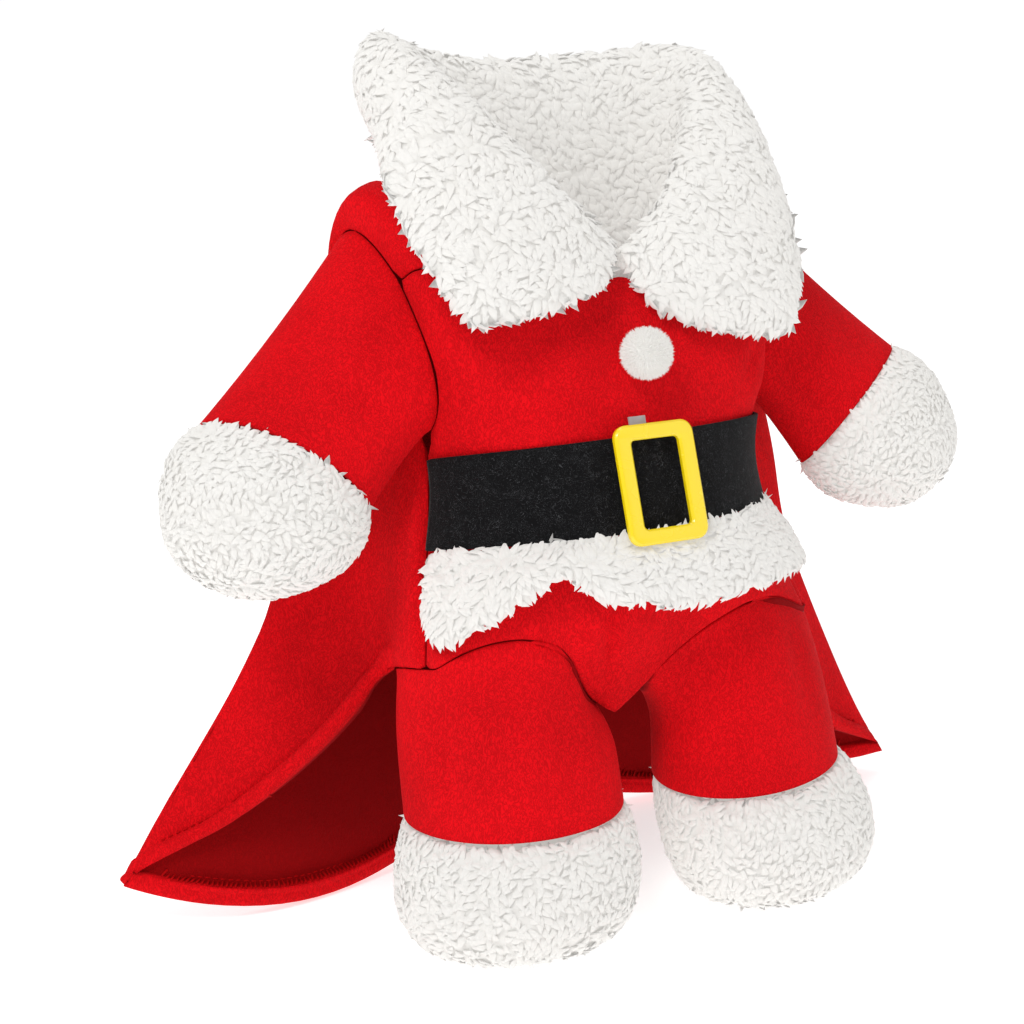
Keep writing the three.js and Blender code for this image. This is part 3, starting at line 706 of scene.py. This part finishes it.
def scattered(mesh, spacing, rng, wanted=None):
    """Points over the mesh, none closer than about the spacing, with their normals. wanted says
    from a triangle's marks which triangles take part."""
    tries_per_place, closest = 3.2, 0.86
    mesh.calc_loop_triangles()
    corners = np.empty(len(mesh.loop_triangles) * 3, np.int32)
    mesh.loop_triangles.foreach_get("vertices", corners)
    corners = corners.reshape(-1, 3)
    if wanted:
        corners = corners[wanted(outside_of(mesh)[corners].mean(1))]
    points, normals = points_and_normals(mesh)
    a, b, c = (points[corners[:, i]] for i in range(3))
    areas = np.linalg.norm(np.cross(b - a, c - a), axis=1) / 2
    count = int(areas.sum() / spacing**2 * tries_per_place)
    chosen = rng.choice(len(areas), count, p=areas / areas.sum())
    u, v = rng.random(count), rng.random(count)
    flip = u + v > 1
    u[flip], v[flip] = 1 - u[flip], 1 - v[flip]
    shares = np.stack([1 - u - v, u, v], 1)
    places = sum(shares[:, i, None] * points[corners[chosen, i]] for i in range(3))
    ways = unit(sum(shares[:, i, None] * normals[corners[chosen, i]] for i in range(3)))
    taken, kept = {}, []
    near = [(i, j, k) for i in (-1, 0, 1) for j in (-1, 0, 1) for k in (-1, 0, 1)]
    limit = (spacing * closest) ** 2
    cells = np.floor(places / spacing).astype(int).tolist()
    for index, (place, (x, y, z)) in enumerate(zip(places.tolist(), cells)):
        beside = (other for i, j, k in near for other in taken.get((x + i, y + j, z + k), ()))
        if all(sum((p - q) ** 2 for p, q in zip(place, other)) >= limit for other in beside):
            taken.setdefault((x, y, z), []).append(place)
            kept.append(index)
    return places[kept], ways[kept]


def swirls(places, rng):
    """A direction at each place that turns slowly from place to place."""
    way = np.zeros_like(places)
    for size in SWIRLS:
        turn = unit(rng.normal(size=(1, 3))) * 2 * math.pi / (size * MM)
        wave = np.sin((places * turn).sum(1) + rng.uniform(0, 6))[:, None]
        way += wave * unit(rng.normal(size=(1, 3)))
    return way


def tufts(name, roots, out, facts, rng, cloth, rim):
    """Broad pointed tufts over a backing, that lie over one another in small swirls, over the
    seams to the cloth beside them, and out past the free edges."""
    beside, far = nearest(cloth["tree"], roots)
    to_cloth = cloth["points"][beside] - roots
    facing = (unit(to_cloth) * out).sum(1) > 0.5
    too_close = 1.2 * MM
    kept = ~(facing & (far < too_close))
    roots, out, to_cloth, far = roots[kept], out[kept], to_cloth[kept], far[kept]
    count = len(roots)
    lie = swirls(roots, rng) * LIE["swirl"] + rng.normal(size=out.shape) * LIE["stray"]
    lie += np.array([0, 0, -facts["fall"]])
    by_cloth = np.exp(-((far / LIE["cloth_reach"]) ** 2))
    lie += unit(to_cloth) * (LIE["to_cloth"] * by_cloth)[:, None]
    index, from_rim = nearest(rim["tree"], roots)
    at_rim = np.exp(-((from_rim / LIE["edge_reach"]) ** 2)) * (far > 3 * MM)
    lie += rim["normals"][index] * (LIE["past_edge"] * at_rim)[:, None]
    lie = unit(lie - (lie * out).sum(1, keepdims=True) * out)
    aside = np.cross(out, lie)
    size = rng.uniform(0.8, 1.2, count)[:, None]
    longer = 1 + 0.4 * np.exp(-((far[:, None] / (3.5 * MM)) ** 2))
    length = facts["length"] * MM * size * longer
    high = facts["high"] * MM * rng.uniform(0.8, 1.15, count)[:, None]
    curl = aside * rng.normal(size=(count, 1)) * 0.4 * MM
    tip_high = out * high * rng.uniform(0.55, 1.1, count)[:, None]
    rows = [
        roots - out * 0.4 * MM - lie * length * 0.12,
        roots + out * high * 0.42 + lie * length * 0.08,
        roots + out * high * 0.8 + lie * length * 0.4 + curl,
        roots + tip_high + lie * length * 0.85 + curl * 2.2,
    ]
    thick = facts["breadth"] * MM * size[:, 0]
    radii = [thick * 0.8, thick, thick * 0.72]
    return locks_mesh(name, rows, radii, aside, 6, 0.4, out)


def fleece_backing(node, back):
    """The fleece's backing: the node's wall with its outer sheet set back under the tufts."""
    shell = quads_of(node)
    mark_sheets(shell, RIM_CREASE["fleece"])
    made = smoothed(node + "_backing", shell, 1, fleece)
    points, normals = points_and_normals(made.data)
    outside = outside_of(made.data)
    depths = {1: back, -1: back * 0.6 if node == "collar" else 0.0}
    for side, depth in depths.items():
        on_side = np.clip(outside * side, 0, 1)[:, None]
        points -= normals * depth * MM * on_side
    set_points(made.data, points)
    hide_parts(node)
    return made


def fleece_pieces(cloth):
    made = {}
    for seed, (node, facts) in enumerate(FLEECE.items(), 11):
        rng = np.random.default_rng(seed)
        backing = fleece_backing(node, facts["back"])
        points, normals = points_and_normals(backing.data)
        edge = abs(outside_of(backing.data)) < 0.6
        rim = {"normals": normals[edge], "tree": tree_of(points[edge])}
        roots, out = scattered(backing.data, facts["spacing"] * MM, rng, lambda mark: mark > -0.4)
        parts = {"_fleece": np.ones(len(roots), bool)}
        if node == "collar":
            parts = {"_fleece_left": roots[:, 0] >= 0, "_fleece_right": roots[:, 0] < 0}
        grown = []
        for part, chosen in parts.items():
            mesh = tufts(node + part, roots[chosen], out[chosen], facts, rng, cloth, rim)
            grown.append(mesh_object(node + part, mesh, fleece))
        if node == "collar":
            under = {**facts, **UNDER_COLLAR}
            spacing = under["spacing"] * MM
            roots, out = scattered(backing.data, spacing, rng, lambda mark: mark <= -0.4)
            mesh = tufts("collar_fleece_under", roots, out, under, rng, cloth, rim)
            grown.append(mesh_object("collar_fleece_under", mesh, fleece))
        made[node] = (backing, grown)
    return made


def pompom():
    """A ball of clipped yarn."""
    shell = quads_of("pompom")
    made = smoothed("pompom_core", shell, 1, fleece)
    points, normals = points_and_normals(made.data)
    set_points(made.data, points - normals * YARN["core"])
    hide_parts("pompom")
    rng = np.random.default_rng(31)
    roots, out = scattered(made.data, YARN["spacing"], rng)
    count = len(roots)
    stray = rng.normal(size=out.shape) * YARN["stray"]
    way = unit(out + stray)
    length = (YARN["length"] * rng.uniform(0.75, 1.2, count))[:, None]
    rows = [roots - out * 0.3 * MM, roots + way * length * 0.6, roots + way * length]
    thick = np.full(count, YARN["thick"])
    mesh = locks_mesh("pompom_hairs", rows, [thick, thick * 0.8], np.cross(out, stray), 3)
    mesh_object("pompom_hairs", mesh, fleece)


def belt():
    shell = quads_of("belt")
    mark_sheets(shell, RIM_CREASE["felt"])
    made = smoothed("belt_felt", shell, 2, felt)
    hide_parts("belt")
    return made


def buckle():
    shell = merged("buckle")
    flat_enough = 0.02
    bmesh.ops.dissolve_limit(shell, angle_limit=flat_enough, verts=shell.verts, edges=shell.edges)
    mesh = bpy.data.meshes.new("buckle_frame")
    shell.to_mesh(mesh)
    shell.free()
    made = mesh_object("buckle_frame", mesh, plastic)
    rounding = made.modifiers.new("rounding", "BEVEL")
    rounding.width = 0.5 * MM
    rounding.segments = 3
    rounding.limit_method = "ANGLE"
    rounding.angle_limit = 0.4
    mesh.polygons.foreach_set("use_smooth", [True] * len(mesh.polygons))
    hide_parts("buckle")


def stitches(name, cape, inside, spacing, length, slant, thick):
    """A row of stitches along the cape's hem, on its outer or its inner face. slant turns each
    one from along the hem, at 0, to across it, at 1."""
    points, normals = points_and_normals(cape.data)
    outer = np.where(outside_of(cape.data) > 0.98)[0]
    surface = BVHTree.FromObject(cape, bpy.context.evaluated_depsgraph_get())
    line = curve_through(np.array(HEM_LINE) * MM, 0.4 * MM)
    run = np.concatenate([[0], np.cumsum(np.linalg.norm(np.diff(line, axis=0), axis=1))])
    from_ends, from_middle = 7 * MM, 163 * MM
    at = np.arange(from_ends, run[-1] - from_ends, spacing)
    places = np.stack([np.interp(at, run, line[:, i]) for i in range(3)], 1)
    ahead = np.stack([np.interp(at + 1 * MM, run, line[:, i]) for i in range(3)], 1)
    short_of_tips = abs(places[:, 0]) < from_middle
    places, ahead = places[short_of_tips], ahead[short_of_tips]
    index, _ = nearest(tree_of(points[outer]), places)
    out = normals[outer][index]
    on, faces = [], []
    for place, way in zip(places, out):
        start = Vector(place) - Vector(way) * (CLOTH + 0.5 * MM) if inside else Vector(place)
        spot, normal, _, _ = surface.find_nearest(start)
        on.append(spot)
        faces.append(normal)
    on, faces = np.array(on), unit(np.array(faces))
    along = unit(ahead - places)
    across = unit(np.cross(faces, along))
    rng = np.random.default_rng(41)
    way = unit(along * (1 - slant) + across * slant + along * rng.normal(size=(len(on), 1)) * 0.12)
    half = way * length / 2
    sunk, raised = faces * 0.3 * MM, faces * 0.25 * MM
    rows = [on - half - sunk, on - half * 0.6 + raised, on + half * 0.6 + raised, on + half - sunk]
    radius = np.full(len(on), thick)
    mesh = locks_mesh(name, rows, [radius * 0.6, radius, radius], across, 5)
    return mesh_object(name, mesh, thread)


def floor(height):
    far = 40.0
    mesh = bpy.data.meshes.new("floor")
    corners = [(x, y, height) for x, y in ((-far, -far), (far, -far), (far, far), (-far, far))]
    mesh.from_pydata(corners, [], [(0, 1, 2, 3)])
    made = bpy.data.objects.new("floor", mesh)
    bpy.context.scene.collection.objects.link(made)

    def look(place):
        grain = place.noise(40, 2)
        return {
            "Base Color": grain.colours((0.9, 0.9, 0.9), (0.92, 0.92, 0.92)),
            "Roughness": 0.8,
            "Emission Color": (1, 1, 1, 1),
            "Emission Strength": 0.6,
        }

    mesh.materials.append(material("pale_floor", look))


def softbox(name, place, size, power, target):
    light = bpy.data.lights.new(name, "AREA")
    light.shape = "DISK"
    light.size = size
    light.energy = power
    made = bpy.data.objects.new(name, light)
    made.location = place
    aim = Vector(target) - Vector(place)
    made.rotation_euler = aim.to_track_quat("-Z", "Y").to_euler()
    bpy.context.scene.collection.objects.link(made)


def world(strength):
    made = bpy.data.worlds.new("studio")
    made.use_nodes = True
    background = made.node_tree.nodes["Background"]
    background.inputs["Color"].default_value = (1, 1, 1, 1)
    background.inputs["Strength"].default_value = strength
    bpy.context.scene.world = made


velour_pieces = velour_shells()
sewn_together(velour_pieces)
belt_piece = belt()
cloth_beside = [*velour_pieces.values(), belt_piece]
around = np.concatenate([points_and_normals(piece.data)[0] for piece in cloth_beside])
fleece_made = fleece_pieces({"points": around, "tree": tree_of(around)})
pompom()
buckle()
tab = frame["nodes"]["buckle_tab"]
tab.data.materials.clear()
tab.data.materials.append(clear)
cape = velour_pieces["back_cape"]
TOPSTITCH = {"spacing": 3.1 * MM, "length": 2.2 * MM, "slant": 0.0, "thick": 0.32 * MM}
OVERLOCK = {"spacing": 1.9 * MM, "length": 4.6 * MM, "slant": 0.72, "thick": 0.5 * MM}
topstitch = stitches("hem_topstitch", cape, inside=False, **TOPSTITCH)
overlock = stitches("hem_overlock", cape, inside=True, **OVERLOCK)

FLOOR = -0.2545  # under the cuffs and the hem
CENTRE = Vector((0, -0.015, -0.081))
# The lights: where each is, its size in metres and its power in watts.
SOFTBOXES = {
    "key_from_the_left": ((-1.15, -0.8, 1.35), 0.7, 17.5),
    "fill_from_the_right": ((1.0, -1.2, 0.5), 1.0, 2.0),
    "light_from_above": ((0.1, 0.3, 1.6), 1.0, 5),
}
floor(FLOOR)
world(strength=0.46)
for name, (place, size, power) in SOFTBOXES.items():
    softbox(name, place, size, power, CENTRE)

AZIMUTH, ELEVATION = math.radians(-30), math.radians(13)
DISTANCE = 0.95
back = Vector((
    math.sin(AZIMUTH) * math.cos(ELEVATION),
    -math.cos(AZIMUTH) * math.cos(ELEVATION),
    math.sin(ELEVATION),
))
view = bpy.data.cameras.new("camera")
view.lens = 86.8
view.sensor_width = 36.0
view.shift_x = -0.080
view.shift_y = -0.047
camera = bpy.data.objects.new("camera", view)
camera.location = CENTRE + back * DISTANCE
camera.rotation_euler = back.to_track_quat("Z", "Y").to_euler()
bpy.context.scene.collection.objects.link(camera)
bpy.context.scene.camera = camera
bpy.context.scene.view_settings.view_transform = "Standard"
